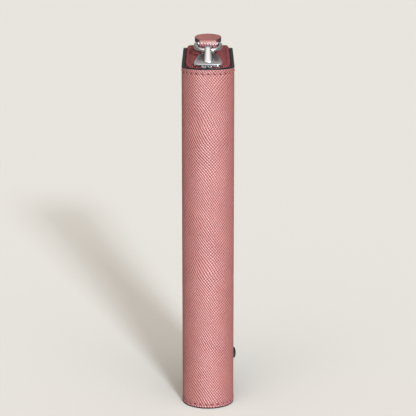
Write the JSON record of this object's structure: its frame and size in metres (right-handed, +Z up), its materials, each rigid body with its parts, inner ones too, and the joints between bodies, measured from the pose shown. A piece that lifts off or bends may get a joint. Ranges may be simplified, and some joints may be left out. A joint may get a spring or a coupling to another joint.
{
  "type": "pen case",
  "caption": "Slim upright leather case for a single pen, with a rounded spine, painted edges and a zip over the top and down the far side.",
  "frame": {"origin": "centre of the base, on the surface that the case stands on, midway between the spine's front and the walls' far edges", "axes": "+Z up, +Y from the rounded spine to the zip down the far side, +X out of the front face with the stud"},
  "size_m": [0.0253, 0.0441, 0.1722],
  "materials": {
    "leather": "pink cross-grain leather, satin",
    "edge_paint": "black edge paint, satin",
    "board": "bonded fibre board",
    "lining": "woven lining",
    "zip_tape": "woven zip tape, dark red",
    "zip_metal": "nickel plated",
    "polished_metal": "polished palladium-coloured plate",
    "stud": "glossy black"
  },
  "bodies": {
    "case": {"outer_leather": "leather", "front_board": "board", "back_board": "board", "spine_stiffener": "board", "lining": "lining", "mouth_edge_paint": "edge_paint", "base_edge_paint": "edge_paint", "base_panel": "leather", "base_board": "board", "base_lining": "lining", "zip_tape_left": "zip_tape", "zip_tape_right": "zip_tape", "zip_bead_top_left": "zip_tape", "zip_bead_top_right": "zip_tape", "zip_bead_side_left": "zip_tape", "zip_bead_side_right": "zip_tape", "zip_teeth_top_left": "zip_metal", "zip_teeth_top_right": "zip_metal", "zip_teeth_side_left": "zip_metal", "zip_teeth_side_right": "zip_metal", "top_stop_left": "zip_metal", "top_stop_right": "zip_metal", "bottom_stop": "zip_metal", "front_stud": "stud", "stud_washer": "zip_metal"},
    "slider": {"slider_body": "polished_metal", "slider_crown": "polished_metal"},
    "ring": {"pull_ring": "polished_metal"},
    "pull": {"pull_strap": "leather", "pull_filler": "board"}
  },
  "joints": [
    {"name": "zip_slide", "type": "slide", "parent": "case", "child": "slider", "axis": [0, 0.9781, 0.2079], "range_m": [0, 0.017], "deforming": ["zip_teeth_top_left", "zip_teeth_top_right", "zip_bead_top_left", "zip_bead_top_right"]},
    {"name": "ring_hinge", "type": "hinge", "parent": "slider", "child": "ring", "pos_m": [0, -0.01047, 0.1671], "axis": [1, 0, 0], "range_deg": [-4, 150]},
    {"name": "pull_hinge", "type": "hinge", "parent": "ring", "child": "pull", "pos_m": [0, -0.00441, 0.16918], "axis": [-1, 0, 0], "range_deg": [-50, 4]}
  ]
}
